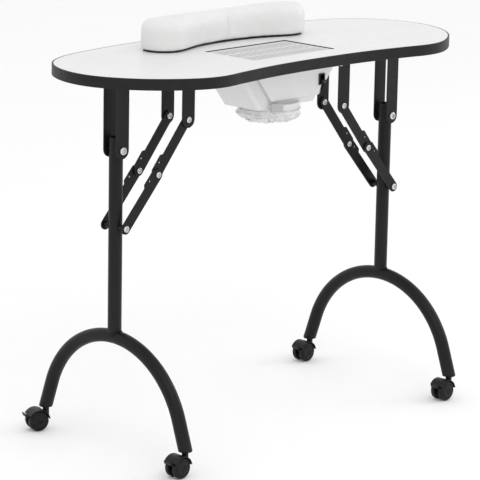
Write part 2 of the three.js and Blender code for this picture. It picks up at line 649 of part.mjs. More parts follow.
// One leg with its brackets and braces. inward is +1 where inboard is +X.
function leg(side, inward, pivotDrop) {
  const pivotZ = TOP_HEIGHT - pivotDrop;
  const group = new THREE.Group();
  group.position.x = -inward * LEG_X;
  table.add(group);
  legTubes(group, side, pivotZ);

  const under = BOARD_UNDER - GAP;
  place(group, `${side}_hinge_bracket`,
    bracket(HINGE_SPACING, under - pivotZ, HINGE_BOLT + PIN_GAP), BLACK_STEEL, 0, 0, pivotZ);
  const hingeReach = HINGE_SPACING / 2 + STRIP / 2 + GAP;
  place(group, `${side}_hinge_bolt`, throughBolt(hingeReach), BRIGHT_STEEL, 0, 0, pivotZ);

  const rootX = inward * BRACE_REACH;
  const rootZ = pivotZ + BRACE_RISE;
  const footZ = pivotZ - BRACE_FOOT;
  place(group, `${side}_brace_bracket`,
    bracket(BRACE_SPACING, under - rootZ, RIVET + PIN_GAP), BLACK_STEEL, rootX, 0, rootZ);
  place(group, `${side}_cross_pin`, crossPin(), BRIGHT_STEEL, 0, 0, footZ);

  const root = new THREE.Vector2(rootX, rootZ);
  const foot = new THREE.Vector2(0, footZ);
  const line = root.clone().sub(foot);
  const below = new THREE.Vector2(line.y, -line.x).multiplyScalar(inward).setLength(OVER_CENTRE);
  const middle = root.clone().add(foot).multiplyScalar(0.5).add(below);

  const upperFace = ARM_FACE;
  const lowerFace = ARM_FACE + ARM_GAP + STRIP;
  for (const [end, sign] of [['front', -1], ['rear', 1]]) {
    const name = `${side}_${end}`;
    const low = (face) => (sign > 0 ? face - STRIP : -face);
    add(group, `${name}_upper_arm`,
      braceArm(root, middle, low(upperFace), -inward, RIVET, RIVET), BLACK_STEEL);
    add(group, `${name}_lower_arm`,
      braceArm(foot, middle, low(lowerFace), inward, CROSS_PIN, RIVET), BLACK_STEEL);

    const turn = sign > 0 ? 0 : Math.PI;
    const cheek = BRACE_SPACING / 2 + STRIP / 2 + GAP;
    const topStart = upperFace - STRIP - GAP;
    const top = rivet(cheek - topStart, true, true).rotateZ(turn);
    place(group, `${name}_top_rivet`, top, BRIGHT_STEEL, root.x, sign * topStart, root.y);
    // Each middle rivet stays in its own arm's plane: the rear ones show inside, the front outside.
    const inside = sign > 0;
    const start = inside ? upperFace - STRIP - GAP : lowerFace - STRIP;
    const mid = rivet(STRIP + GAP, !inside, inside).rotateZ(turn);
    place(group, `${name}_middle_rivet`, mid, BRIGHT_STEEL, middle.x, sign * start, middle.y);
  }
  return group;
}

// ---- castors ----
function wheels() {
  const inner = WHEEL_GAP / 2;
  const outer = inner + WHEEL_WIDTH;
  const r = WHEEL_RADIUS;
  const half = [
    [AXLE, inner], [r - 1, inner], [r, inner + 1], [r, outer - 2.5], [r - 2.5, outer],
    [0, outer],
  ];
  const other = half.map(([radius, y]) => [radius, -y]).reverse();
  return alongY(turned([...other, ...half], 18));
}

// Wheel centre at the origin, trailing from the stem at x = TRAIL.
function hood() {
  const inner = WHEEL_RADIUS + HOOD_CLEAR;
  const outer = inner + HOOD;
  const width = WHEEL_GAP + 2 * WHEEL_WIDTH;
  const [from, to] = [0.06 * Math.PI, 0.96 * Math.PI - BRAKE_LIFT];
  const shell = new THREE.Shape();
  shell.absarc(0, 0, outer, from, to);
  shell.absarc(0, 0, inner, to, from, true);
  const web = new THREE.Shape();
  web.absarc(0, 0, inner + HOOD / 2, from, to);
  web.lineTo(-AXLE - 3, -AXLE - 3);
  web.lineTo(AXLE + 3, -AXLE - 3);
  const webWidth = WHEEL_GAP - 2;
  const neckTop = ARCH_END - INSERT_FLANGE - 2 * GAP - WHEEL_RADIUS;
  const neckLow = outer * Math.sin(Math.acos(Math.min(TRAIL / outer, 0.9))) - 6;
  return cut(
    join(
      uprightPlate(shell, width, -width / 2, 6),
      uprightPlate(web, webWidth, -webWidth / 2, 6),
      rod(NECK, neckLow, neckTop, 12).translate(TRAIL, 0, 0),
      rod(STEM, neckTop - 1, neckTop + GAP + INSERT_FLANGE + STEM_LENGTH, 10)
        .translate(TRAIL, 0, 0),
    ),
    alongY(rod(AXLE + PIN_GAP, -WHEEL_GAP, WHEEL_GAP, 10)),
    alongY(rod(WHEEL_RADIUS + HOOD_CLEAR / 2, WHEEL_GAP / 2 - 1, 60, 18)),
    alongY(rod(WHEEL_RADIUS + HOOD_CLEAR / 2, -60, 1 - WHEEL_GAP / 2, 18)),
  );
}

function insert() {
  const [flange, plug, bore] = [TUBE / 2, TUBE / 4, STEM + PIN_GAP];
  return turned([
    [bore, -INSERT_FLANGE], [flange, -INSERT_FLANGE], [flange, 0], [plug, 0],
    [plug, STEM_LENGTH], [bore, STEM_LENGTH], [bore, -INSERT_FLANGE],
  ], 16);
}

function brakeLever() {
  const start = WHEEL_RADIUS + HOOD_CLEAR + BRAKE_CLEAR;
  const end = start + BRAKE_LENGTH;
  const t = BRAKE_THICKNESS / 2;
  const side = polygon([
    [-start, -t], [-start, t], [3 - end, t], [-end, t + BRAKE_LIP], [-end - 1, t], [3 - end, -t],
  ]);
  return uprightPlate(side, BRAKE_WIDTH, -BRAKE_WIDTH / 2).rotateY(BRAKE_LIFT);
}

// Y of the tube's axis where it is cut off above the castor.
function archEndY() {
  const bend = ARCH_TOP - ARCH_RADIUS + ARCH_RADIUS * Math.sin(ARCH_LEAN);
  return ARCH_RADIUS * Math.cos(ARCH_LEAN) + (bend - ARCH_END) * Math.tan(ARCH_LEAN);
}

function castor(name, x, y, swivel) {
  const group = new THREE.Group();
  group.position.set(x, y, 0);
  table.add(group);
  place(group, `${name}_castor_insert`, insert(), BLACK_PLASTIC, 0, 0, ARCH_END - GAP);
  const turning = new THREE.Group();
  turning.rotation.z = swivel;
  group.add(turning);
  const parts = { hood: hood(), wheels: wheels(), brake: brakeLever() };
  for (const [part, geometry] of Object.entries(parts)) {
    place(turning, `${name}_castor_${part}`, geometry, BLACK_PLASTIC, -TRAIL, 0, WHEEL_RADIUS);
  }
}

worktop();
grille();
dustCollector();
cushion();
leg('left', 1, PIVOT_DROP_LEFT);
leg('right', -1, PIVOT_DROP_LEFT + LEG_STAGGER);
const castorY = archEndY();
castor('front_left', -LEG_X, -castorY, 0);
castor('rear_left', -LEG_X, castorY, REAR_LEFT_SWIVEL);
castor('front_right', LEG_X, -castorY, 0);
castor('rear_right', LEG_X, castorY, 0);

export default table;
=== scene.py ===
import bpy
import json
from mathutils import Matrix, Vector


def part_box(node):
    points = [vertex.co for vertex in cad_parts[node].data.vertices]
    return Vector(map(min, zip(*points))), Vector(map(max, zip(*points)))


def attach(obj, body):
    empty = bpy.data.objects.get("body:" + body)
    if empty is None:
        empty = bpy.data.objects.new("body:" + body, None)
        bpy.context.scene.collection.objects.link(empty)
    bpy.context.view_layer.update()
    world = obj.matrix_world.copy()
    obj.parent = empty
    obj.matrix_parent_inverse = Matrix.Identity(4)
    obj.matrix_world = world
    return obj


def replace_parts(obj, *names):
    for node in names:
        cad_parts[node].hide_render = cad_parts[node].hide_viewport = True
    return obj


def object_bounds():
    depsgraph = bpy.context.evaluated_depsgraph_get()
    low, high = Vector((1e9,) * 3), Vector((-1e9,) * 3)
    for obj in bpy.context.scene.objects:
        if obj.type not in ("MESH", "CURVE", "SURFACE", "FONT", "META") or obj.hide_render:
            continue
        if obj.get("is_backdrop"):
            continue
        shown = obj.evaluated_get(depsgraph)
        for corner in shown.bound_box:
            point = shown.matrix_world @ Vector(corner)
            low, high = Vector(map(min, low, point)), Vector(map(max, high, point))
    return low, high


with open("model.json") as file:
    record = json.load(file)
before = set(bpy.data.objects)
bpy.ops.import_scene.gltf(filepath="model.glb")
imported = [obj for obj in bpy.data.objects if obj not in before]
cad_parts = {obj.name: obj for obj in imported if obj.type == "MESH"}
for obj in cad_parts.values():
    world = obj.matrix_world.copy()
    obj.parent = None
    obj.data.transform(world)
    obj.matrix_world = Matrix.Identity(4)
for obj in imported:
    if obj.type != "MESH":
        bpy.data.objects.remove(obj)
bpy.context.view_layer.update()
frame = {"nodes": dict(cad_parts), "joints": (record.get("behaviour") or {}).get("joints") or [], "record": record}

import json
import math

import bmesh
import bpy
from mathutils import Matrix, Vector, noise
from mathutils.bvhtree import BVHTree

MM = 0.001
UP = Vector((0, 0, 1))
SIDES = ("left", "right")
ENDS = ("front", "rear")
CASTORS = ("front_left", "rear_left", "front_right", "rear_right")
NODES = frame["nodes"]
JOINTS = {joint["name"]: joint for joint in frame["joints"]}
SLOT_OF = {part["node"]: part["material_slot"] for part in frame["record"]["subparts"]}
BODY_OF = {
    node: body
    for body, members in frame["record"]["behaviour"]["bodies"].items()
    for node in members
}


# ---- camera, fitted to the photo ----
CAMERA_HEADING = math.radians(-45.03)
CAMERA_DOWN = math.radians(13.2)
CAMERA_ROLL = math.radians(0.95)
CAMERA_PLACE = (-3.506, -3.389, 1.490)
CAMERA_LENS = 201.5
CAMERA_SENSOR = 36
CAMERA_SHIFT = (0.058, -0.0133)
CAMERA_REACH = 60


def make_camera():
    back = Vector((
        math.sin(CAMERA_HEADING) * math.cos(CAMERA_DOWN),
        -math.cos(CAMERA_HEADING) * math.cos(CAMERA_DOWN),
        math.sin(CAMERA_DOWN),
    ))
    level = UP.cross(back).normalized()
    upward = back.cross(level)
    right = level * math.cos(CAMERA_ROLL) + upward * math.sin(CAMERA_ROLL)
    up = -level * math.sin(CAMERA_ROLL) + upward * math.cos(CAMERA_ROLL)
    data = bpy.data.cameras.new("camera")
    data.sensor_width = CAMERA_SENSOR
    data.lens = CAMERA_LENS
    data.shift_x, data.shift_y = CAMERA_SHIFT
    data.clip_end = CAMERA_REACH
    camera = bpy.data.objects.new("camera", data)
    rows = [
        (right[axis], up[axis], back[axis], CAMERA_PLACE[axis])
        for axis in range(3)
    ]
    camera.matrix_world = Matrix((*rows, (0, 0, 0, 1)))
    bpy.context.scene.collection.objects.link(camera)
    bpy.context.scene.camera = camera


# ---- materials ----
NOISE_LOW = 0.3  # most of a noise texture lies between these two
NOISE_HIGH = 0.7
RUBBED_LOW = 0.54  # pointiness of an edge where wear begins and where it is full
RUBBED_HIGH = 0.66


class Shader:
    """A Principled material with helpers for procedural texture, in object space."""

    def __init__(self, name, roughness, **uniform):
        self.material = bpy.data.materials.new(name)
        self.material.use_nodes = True
        self.nodes = self.material.node_tree.nodes
        self.links = self.material.node_tree.links
        self.shader = self.nodes["Principled BSDF"]
        self.shader.inputs["Roughness"].default_value = roughness
        for socket, value in uniform.items():
            words = socket.replace("_", " ").title().replace("Ior", "IOR")
            self.shader.inputs[words].default_value = value
        self.place = self.nodes.new("ShaderNodeTexCoord").outputs["Object"]

    def noise(self, scale, detail, stretch=None):
        node = self.nodes.new("ShaderNodeTexNoise")
        node.inputs["Scale"].default_value = scale
        node.inputs["Detail"].default_value = detail
        place = self.place
        if stretch:
            mapping = self.nodes.new("ShaderNodeMapping")
            mapping.inputs["Scale"].default_value = stretch
            self.links.new(place, mapping.inputs["Vector"])
            place = mapping.outputs["Vector"]
        self.links.new(place, node.inputs["Vector"])
        return node.outputs["Fac"]

    def cells(self, scale):
        """The distance to the nearest edge between cells, as in leather grain."""
        node = self.nodes.new("ShaderNodeTexVoronoi")
        node.feature = "DISTANCE_TO_EDGE"
        node.inputs["Scale"].default_value = scale
        self.links.new(self.place, node.inputs["Vector"])
        return node.outputs["Distance"]

    def ramp(self, factor, low, high, start=NOISE_LOW, end=NOISE_HIGH):
        node = self.nodes.new("ShaderNodeValToRGB")
        node.color_ramp.elements[0].position = start
        node.color_ramp.elements[1].position = end
        node.color_ramp.elements[0].color = (*low, 1)
        node.color_ramp.elements[1].color = (*high, 1)
        self.links.new(factor, node.inputs["Fac"])
        return node.outputs["Color"]

    def colour(self, factor, low, high):
        self.links.new(self.ramp(factor, low, high), self.shader.inputs["Base Color"])

    def worn_colour(self, factor, low, high, edge):
        """The mottled colour, a little lighter where an edge is rubbed."""
        rubbed = self.ramp(self.nodes.new("ShaderNodeNewGeometry").outputs["Pointiness"],
                           (0, 0, 0), (1, 1, 1), RUBBED_LOW, RUBBED_HIGH)
        mix = self.nodes.new("ShaderNodeMix")
        mix.data_type = "RGBA"
        self.links.new(rubbed, mix.inputs["Factor"])
        self.links.new(self.ramp(factor, low, high), mix.inputs["A"])
        mix.inputs["B"].default_value = (*edge, 1)
        self.links.new(mix.outputs["Result"], self.shader.inputs["Base Color"])

    def vary_roughness(self, factor, low, high):
        node = self.nodes.new("ShaderNodeMapRange")
        node.inputs["From Min"].default_value = NOISE_LOW
        node.inputs["From Max"].default_value = NOISE_HIGH
        node.inputs["To Min"].default_value = low
        node.inputs["To Max"].default_value = high
        self.links.new(factor, node.inputs["Value"])
        self.links.new(node.outputs["Result"], self.shader.inputs["Roughness"])

    def bump(self, factor, strength, distance):
        """A bump on top of the bumps that are already there."""
        node = self.nodes.new("ShaderNodeBump")
        node.inputs["Strength"].default_value = strength
        node.inputs["Distance"].default_value = distance
        earlier = self.shader.inputs["Normal"].links
        if earlier:
            self.links.new(earlier[0].from_socket, node.inputs["Normal"])
        self.links.new(factor, node.inputs["Height"])
        self.links.new(node.outputs["Normal"], self.shader.inputs["Normal"])


def grey(value, warmth=0.0):
    """A grey, turned from blue to red by warmth."""
    return (value + warmth, value, value - warmth)


def laminate():
    paint = Shader("white_laminate", 0.34)
    paint.colour(paint.noise(9, 4), grey(0.715, 0.002), grey(0.74, 0.002))
    paint.vary_roughness(paint.noise(30, 4), 0.30, 0.40)
    paint.bump(paint.noise(2600, 2), 0.10, 0.04 * MM)
    paint.bump(paint.noise(340, 3), 0.06, 0.06 * MM)
    return paint.material


def black_coat(name, tone, roughness, grain, depth, specular):
    """Black plastic or powder coat: grain is the scale of its texture, depth its height."""
    paint = Shader(name, roughness, specular_ior_level=specular)
    paint.worn_colour(paint.noise(55, 4), grey(tone * 0.85), grey(tone * 1.15), grey(tone * 2.4))
    paint.vary_roughness(paint.noise(70, 3), roughness - 0.06, roughness + 0.06)
    paint.bump(paint.noise(grain, 2), 0.35, depth)
    return paint.material


def moulded(name, tone, roughness):
    paint = Shader(name, roughness, coat_weight=0.05, coat_roughness=0.3)
    paint.colour(paint.noise(22, 4), grey(tone * 0.975), grey(tone))
    paint.vary_roughness(paint.noise(60, 3), roughness - 0.05, roughness + 0.05)
    paint.bump(paint.noise(1500, 2), 0.22, 0.05 * MM)
    paint.bump(paint.noise(26, 2), 0.08, 0.35 * MM)
    return paint.material


def steel(name, tone, roughness):
    paint = Shader(name, roughness, metallic=1.0)
    paint.colour(paint.noise(420, 4), grey(tone * 0.86), grey(tone, 0.003))
    paint.vary_roughness(paint.noise(500, 3), roughness - 0.07, roughness + 0.09)
    paint.bump(paint.noise(900, 2), 0.15, 0.04 * MM)
    return paint.material


def bag_cloth():
    paint = Shader("white_cloth", 0.86, sheen_weight=0.15, sheen_roughness=0.5)
    paint.colour(paint.noise(45, 3), grey(0.64), grey(0.72, 0.002))
    paint.vary_roughness(paint.noise(300, 2), 0.78, 0.92)
    paint.bump(paint.noise(1100, 2, (1, 1, 0.35)), 0.25, 0.05 * MM)
    paint.bump(paint.noise(240, 3), 0.3, 0.25 * MM)
    return paint.material


def vinyl():
    paint = Shader("white_vinyl", 0.46, sheen_weight=0.05, coat_weight=0.06, coat_roughness=0.35)
    paint.colour(paint.noise(26, 4), grey(0.70, 0.002), grey(0.735, 0.002))
    paint.vary_roughness(paint.noise(90, 3), 0.40, 0.52)
    paint.bump(paint.cells(700), 0.28, 0.10 * MM)
    paint.bump(paint.noise(95, 4), 0.12, 0.30 * MM)
    return paint.material


def fibreboard_with_painted_shade():
    # Far darker than raw fibreboard: painted shade for the shadowed walls of the grille's recess and hole, on top
    # of the cut edge's own darker tone.
    paint = Shader("fibreboard_with_painted_shade", 0.85)
    paint.colour(paint.noise(900, 5, (1, 1, 2.5)), (0.035, 0.030, 0.026), (0.075, 0.066, 0.056))
    paint.bump(paint.noise(1300, 4), 0.5, 0.15 * MM)
    return paint.material


def floor_paint():
    paint = Shader("pale_floor", 0.8)
    paint.colour(paint.noise(3, 3), grey(0.93), grey(0.94))
    return paint.material


MATERIALS = {
    "white_laminate": laminate(),
    "black_edge": black_coat("black_edge", 0.011, 0.46, 1500, 0.03 * MM, 0.2),
    "grey_plastic": moulded("grey_plastic", 0.66, 0.48),
    "white_plastic": moulded("white_plastic", 0.69, 0.42),
    "black_plastic": black_coat("black_plastic", 0.007, 0.38, 2200, 0.03 * MM, 0.3),
    "motor_metal": steel("motor_metal", 0.52, 0.34),
    "white_cloth": bag_cloth(),
    "white_vinyl": vinyl(),
    "black_steel": black_coat("black_steel", 0.0065, 0.42, 1100, 0.05 * MM, 0.2),
    "bright_steel": steel("bright_steel", 0.70, 0.24),
    "black_nylon": black_coat("black_nylon", 0.007, 0.42, 1800, 0.04 * MM, 0.22),
}
# Cut fibreboard darkened with painted shade for the groove round the grille.
FIBREBOARD_WITH_PAINTED_SHADE = fibreboard_with_painted_shade()
LATCH_GREY = moulded("latch_grey", 0.44, 0.5)


def paint_cad_nodes():
    for name, node in NODES.items():
        node.data.materials.clear()
        node.data.materials.append(MATERIALS[SLOT_OF[name]])


# ---- mesh tools ----
JOIN = 0.01 * MM  # corners of a CAD mesh nearer than this are one
FLAT = math.radians(0.5)  # faces that meet at less than this are one
LEVEL = 0.02 * MM  # an edge this near to a height lies at it
RIM_ANGLE = 0.2  # least angle, in radians, between the faces at a rim
CORNER_STEPS = 4
CORNER_REACH = 0.45  # share of a side that a rounded corner may take
RECTANGLE_STEPS = 5
ON_AXIS = 1e-7  # a smaller radius is a point on the axis


def clamp(value):
    return min(1.0, max(0.0, value))


def piece(name, bm, slot, body, sharp=40, level=True):
    """A finished mesh as an object that rides on a body.

    Edges over sharp degrees stay sharp. level keeps the large faces even beside their bevels.
    """
    bmesh.ops.recalc_face_normals(bm, faces=bm.faces)
    mesh = bpy.data.meshes.new(name)
    bm.to_mesh(mesh)
    bm.free()
    mesh.materials.append(MATERIALS[slot])
    mesh.shade_smooth()
    mesh.set_sharp_from_angle(angle=math.radians(sharp))
    obj = bpy.data.objects.new(name, mesh)
    bpy.context.scene.collection.objects.link(obj)
    if level:
        normals = obj.modifiers.new("normals", "WEIGHTED_NORMAL")
        normals.keep_sharp = True
    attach(obj, body)
    return obj


def node_mesh(node):
    """The CAD node's mesh with its split corners joined."""
    bm = bmesh.new()
    bm.from_mesh(NODES[node].data)
    bmesh.ops.remove_doubles(bm, verts=bm.verts, dist=JOIN)
    return bm


def refine(node, width, segments, angle=50):
    """Stands for a CAD node with its edges of more than angle degrees rounded."""
    bm = node_mesh(node)
    bmesh.ops.dissolve_limit(bm, angle_limit=FLAT, verts=bm.verts, edges=bm.edges)
    edges = [
        e for e in bm.edges
        if len(e.link_faces) == 2 and e.calc_face_angle(0) > math.radians(angle)
    ]
    bmesh.ops.bevel(bm, geom=edges, offset=width, segments=segments, profile=0.5,
                    affect="EDGES", clamp_overlap=True)
    obj = piece("fine_" + node, bm, SLOT_OF[node], BODY_OF[node], sharp=angle)
    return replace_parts(obj, node)


def round_corners(points, radius):
    """A profile whose corners with a third value are rounded by that share of radius."""
    rounded = []
    for i, point in enumerate(points):
        share = point[2] if len(point) > 2 else 0
        here = Vector(point[:2])
        if not share or i in (0, len(points) - 1):
            rounded.append(here)
            continue
        before, after = Vector(points[i - 1][:2]), Vector(points[i + 1][:2])
        shorter = min((before - here).length, (after - here).length)
        reach = min(radius * share, CORNER_REACH * shorter)
        start = here + (before - here).normalized() * reach
        end = here + (after - here).normalized() * reach
        for k in range(CORNER_STEPS + 1):
            t = k / CORNER_STEPS
            rounded.append(start * (1 - t) ** 2 + here * 2 * t * (1 - t) + end * t * t)
    return rounded


def lathe(bm, profile, matrix, segments):
    """Turns a profile of (radius, height) about Z and places it."""
    rings = []
    for radius, height in profile:
        count = 1 if radius < ON_AXIS else segments
        rings.append([
            bm.verts.new(matrix @ Vector((
                radius * math.cos(2 * math.pi * i / segments),
                radius * math.sin(2 * math.pi * i / segments),
                height,
            ))) for i in range(count)
        ])
    join_rings(bm, rings)


def rod(bm, radius, length, matrix, segments):
    lathe(bm, [(0, 0), (radius, 0), (radius, length), (0, length)], matrix, segments)


def facing(place, direction):
    """Stands a lathe solid at place with its +Z along direction."""
    turn = UP.rotation_difference(Vector(direction)).to_matrix().to_4x4()
    return Matrix.Translation(place) @ turn


def join_rings(bm, rings):
    """Faces between each ring and the next; a ring may be a single point."""
    for low, high in zip(rings, rings[1:]):
        for i in range(max(len(low), len(high))):
            corners = [
                low[i % len(low)], low[(i + 1) % len(low)],
                high[(i + 1) % len(high)], high[i % len(high)],
            ]
            unique = list(dict.fromkeys(corners))
            if len(unique) > 2:
                bm.faces.new(unique)


def sweep(bm, places, section, closed=False):
    """Carries a section of (side, up) along places, each (point, side, up)."""
    rings = [
        [bm.verts.new(point + side * a + up * b) for a, b in section]
        for point, side, up in places
    ]
    if closed:
        rings.append(rings[0])
    join_rings(bm, rings)
    if not closed:
        bm.faces.new(rings[0])
        bm.faces.new(rings[-1])
    return rings


def circle_section(radius, sides):
    angles = [2 * math.pi * i / sides for i in range(sides)]
    return [(radius * math.cos(angle), radius * math.sin(angle)) for angle in angles]


def rim_loops(node, height):
    """The closed rims of a CAD node at a height, longest first, each anticlockwise."""
    bm = node_mesh(node)
    links = {}
    for edge in bm.edges:
        level = all(abs(v.co.z - height) < LEVEL for v in edge.verts)
        if level and len(edge.link_faces) == 2 and edge.calc_face_angle(0) > RIM_ANGLE:
            a, b = edge.verts
            links.setdefault(a, []).append(b)
            links.setdefault(b, []).append(a)
    loops = []
    seen = set()
    for start in sorted(links, key=lambda v: v.index):
        if start in seen:
            continue
        loop, here = [], start
        while here is not None:
            seen.add(here)
            loop.append(here.co.copy())
            here = next((v for v in links[here] if v not in seen), None)
        loops.append(loop)
    bm.free()
    loops.sort(key=lambda p: -sum((a - b).length for a, b in zip(p, p[1:])))
    return [p if signed_area(p) > 0 else p[::-1] for p in loops]


def signed_area(points):
    following = points[1:] + points[:1]
    return sum(a.x * b.y - b.x * a.y for a, b in zip(points, following)) / 2


def smooth_loop(points, parts):
    """A closed Catmull-Rom curve through the points, with each span in equal parts."""
    count = len(points)
    result = []
    for i in range(count):
        p0, p1, p2, p3 = (points[(i + k - 1) % count] for k in range(4))
        for k in range(parts):
            t = k / parts
            result.append(0.5 * (
                2 * p1 + (p2 - p0) * t + (2 * p0 - 5 * p1 + 4 * p2 - p3) * t ** 2
                + (3 * p1 - p0 - 3 * p2 + p3) * t ** 3))
    return result


def outward(points):
    """The level direction out of an anticlockwise loop at each of its points."""
    count = len(points)
    return [
        (points[(i + 1) % count] - points[i - 1]).cross(UP).normalized()
        for i in range(count)
    ]


def offset_loop(points, distance, height):
    return [
        Vector((p.x + n.x * distance, p.y + n.y * distance, height))
        for p, n in zip(points, outward(points))
    ]


def rounded_rectangle(low, high, radius, height):
    """A level loop, anticlockwise from its side of greatest x."""
    corners = [(high.x, high.y, 0), (low.x, high.y, 1), (low.x, low.y, 2), (high.x, low.y, 3)]
    points = []
    for x, y, quarter in corners:
        cx = x - radius if x == high.x else x + radius
        cy = y - radius if y == high.y else y + radius
        for k in range(RECTANGLE_STEPS + 1):
            angle = (quarter + k / RECTANGLE_STEPS) * math.pi / 2
            points.append(Vector((
                cx + radius * math.cos(angle), cy + radius * math.sin(angle), height)))
    return points


def fill_between(bm, outer, inner):
    """Flat faces between two nested rings of vertices."""
    edges = []
    for ring in (outer, inner):
        for a, b in zip(ring, ring[1:] + ring[:1]):
            edges.append(bm.edges.get((a, b)) or bm.edges.new((a, b)))
    return bmesh.ops.triangle_fill(bm, edges=edges, use_beauty=True)


def wall(bm, upper, lower):
    """Faces between two rings of as many vertices."""
    return [
        bm.faces.new((upper[i - 1], upper[i], lower[i], lower[i - 1]))
        for i in range(len(upper))
    ]


# ---- worktop ----
BAND = 3 * MM
BAND_SEAM = 0.15 * MM
BAND_CORNER = 0.8 * MM
SEAT_GAP = 0.7 * MM
SEAT_BELOW = 0.3 * MM
LEDGE = 9 * MM
SEAT_CORNER = 4 * MM
# These faces take the near-black fibreboard colour, which is painted shade for the dark groove round the grille
# over the cut edge's own tone.
CUT = 1  # material index of the faces where the fibreboard is cut


def worktop():
    low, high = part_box("edge_band")
    rim = smooth_loop(rim_loops("edge_band", high.z)[0], 4)
    edge_band(rim, low, high)
    tabletop_board(rim, low, high)
    refine("grille_cover", 0.35 * MM, 2)


def edge_band(rim, low, high):
    profile = [(-BAND, low.z), (0, low.z, 1), (0, high.z, 1), (-BAND, high.z)]
    section = [(p.x, p.y) for p in round_corners(profile, BAND_CORNER)]
    bm = bmesh.new()
    places = [(Vector((p.x, p.y, 0)), n, UP) for p, n in zip(rim, outward(rim))]
    sweep(bm, places, section, closed=True)
    band = piece("smooth_edge_band", bm, "black_edge", "table")
    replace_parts(band, "edge_band")


def tabletop_board(rim, low, high):
    """The board, with a hole for the collector and a ledge round it for the grille."""
    seat_low, seat_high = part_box("grille_cover")
    gap = Vector((SEAT_GAP, SEAT_GAP, 0))
    ledge = Vector((LEDGE, LEDGE, 0))
    seat_floor = seat_low.z - SEAT_BELOW
    inset = -BAND - BAND_SEAM
    seat = (seat_low - gap, seat_high + gap, SEAT_CORNER)
    hole = (seat_low + ledge, seat_high - ledge, SEAT_CORNER)
    loops = {
        "outer_top": offset_loop(rim, inset, high.z),
        "outer_low": offset_loop(rim, inset, low.z),
        "seat_top": rounded_rectangle(*seat, high.z),
        "seat_low": rounded_rectangle(*seat, seat_floor),
        "hole_top": rounded_rectangle(*hole, seat_floor),
        "hole_low": rounded_rectangle(*hole, low.z),
    }
    bm = bmesh.new()
    rings = {name: [bm.verts.new(p) for p in loop] for name, loop in loops.items()}
    wall(bm, rings["outer_top"], rings["outer_low"])
    cuts = wall(bm, rings["seat_top"], rings["seat_low"])
    cuts += wall(bm, rings["hole_top"], rings["hole_low"])
    for face in cuts:
        face.material_index = CUT
    fill_between(bm, rings["outer_top"], rings["seat_top"])
    fill_between(bm, rings["outer_low"], rings["hole_low"])
    for face in fill_between(bm, rings["seat_low"], rings["hole_top"])["geom"]:
        if isinstance(face, bmesh.types.BMFace):
            face.material_index = CUT
    board = piece("smooth_tabletop_board", bm, "white_laminate", "table", level=False)
    # The cut faces get the near-black fibreboard colour: painted shade for the groove round the grille.
    board.data.materials.append(FIBREBOARD_WITH_PAINTED_SHADE)
    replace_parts(board, "tabletop_board")


# ---- wrist cushion ----
CUSHION_START = 1.2 * MM  # how much smaller the pad starts than it ends
CUSHION_EDGE = 6 * MM  # height of the lower rim of the CAD pad
CUSHION_FOOT = ((-4, 0.4), (-1.2, 3))  # outward and up from the underside, in mm
CUSHION_CROWN = ((-1.2, -16), (-3.4, -8), (-7.5, -3), (-14, 0))  # outward and up from the top, in mm
CUSHION_VOXEL = 5 * MM
CUSHION_HELD = 3 * MM  # the cloth is held below this height
CUSHION_CAP = 5 * MM
CUSHION_PROUD = 1.0 * MM
CLOTH_FRAMES = 20
RIPPLE = 0.5 * MM
RIPPLE_SCALE = 28
RIPPLE_FADE = 30 * MM
SEAM_X = -8 * MM
SEAM_LEAN = 0.05
SEAM_WIDTH = 2.6 * MM
SEAM_DEPTH = 1.7 * MM
SEAM_SINK = 0.3  # share of the depth by which the seam also pulls the leather down
SEAM_REACH = 4  # in seam widths
SEAM_END = 3 * MM
SEAM_FADE = 10 * MM
LIP = 0.5 * MM
LIP_SHIFT = 0.55 * MM
LIP_SINK = 0.15 * MM
LIP_START = 2 * MM
LIP_END = 11 * MM
LIP_STEPS = 40


def cushion_blank():
    """The cut foam: the pad's outline with a rounded upper edge."""
    low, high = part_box("wrist_cushion")
    outline = smooth_loop(rim_loops("wrist_cushion", low.z + CUSHION_EDGE)[0], 3)
    top = high.z - CUSHION_START
    rings = [(out * MM, low.z + up * MM) for out, up in CUSHION_FOOT]
    rings += [(out * MM, top + up * MM) for out, up in CUSHION_CROWN]
    bm = bmesh.new()
    levels = [[bm.verts.new(p) for p in offset_loop(outline, d, z)] for d, z in rings]
    join_rings(bm, levels)
    bm.faces.new(levels[0])
    bm.faces.new(levels[-1])
    bmesh.ops.triangulate(bm, faces=[f for f in bm.faces if len(f.verts) > 4])
    bmesh.ops.recalc_face_normals(bm, faces=bm.faces)
    mesh = bpy.data.meshes.new("wrist_pad")
    bm.to_mesh(mesh)
    bm.free()
    obj = bpy.data.objects.new("wrist_pad", mesh)
    bpy.context.scene.collection.objects.link(obj)
    return obj


def apply_all(obj):
    graph = bpy.context.evaluated_depsgraph_get()
    obj.data = bpy.data.meshes.new_from_object(obj.evaluated_get(graph))
    obj.modifiers.clear()


def remesh(obj, voxel):
    modifier = obj.modifiers.new("voxels", "REMESH")
    modifier.mode = "VOXEL"
    modifier.voxel_size = voxel
    apply_all(obj)


def inflate(obj, pinned_below, cap):
    """Swells a closed pad by cloth simulation, its underside held and no point moved past cap."""
    start = [v.co.copy() for v in obj.data.vertices]
    held = obj.vertex_groups.new(name="held")
    held.add([i for i, p in enumerate(start) if p.z < pinned_below], 1.0, "REPLACE")
    cloth = obj.modifiers.new("cloth", "CLOTH")
    cloth.settings.quality = 6
    cloth.settings.mass = 0.3
    cloth.settings.tension_stiffness = 12
    cloth.settings.compression_stiffness = 12
    cloth.settings.bending_stiffness = 4
    cloth.settings.use_pressure = True
    cloth.settings.uniform_pressure_force = 4
    cloth.settings.vertex_group_mass = "held"
    cloth.settings.effector_weights.gravity = 0
    cloth.collision_settings.use_collision = False
    for step in range(1, CLOTH_FRAMES + 1):
        bpy.context.scene.frame_set(step)
    apply_all(obj)
    bpy.context.scene.frame_set(1)
    for vertex, before in zip(obj.data.vertices, start):
        move = vertex.co - before
        if move.length > cap:
            vertex.co = before + move.normalized() * cap


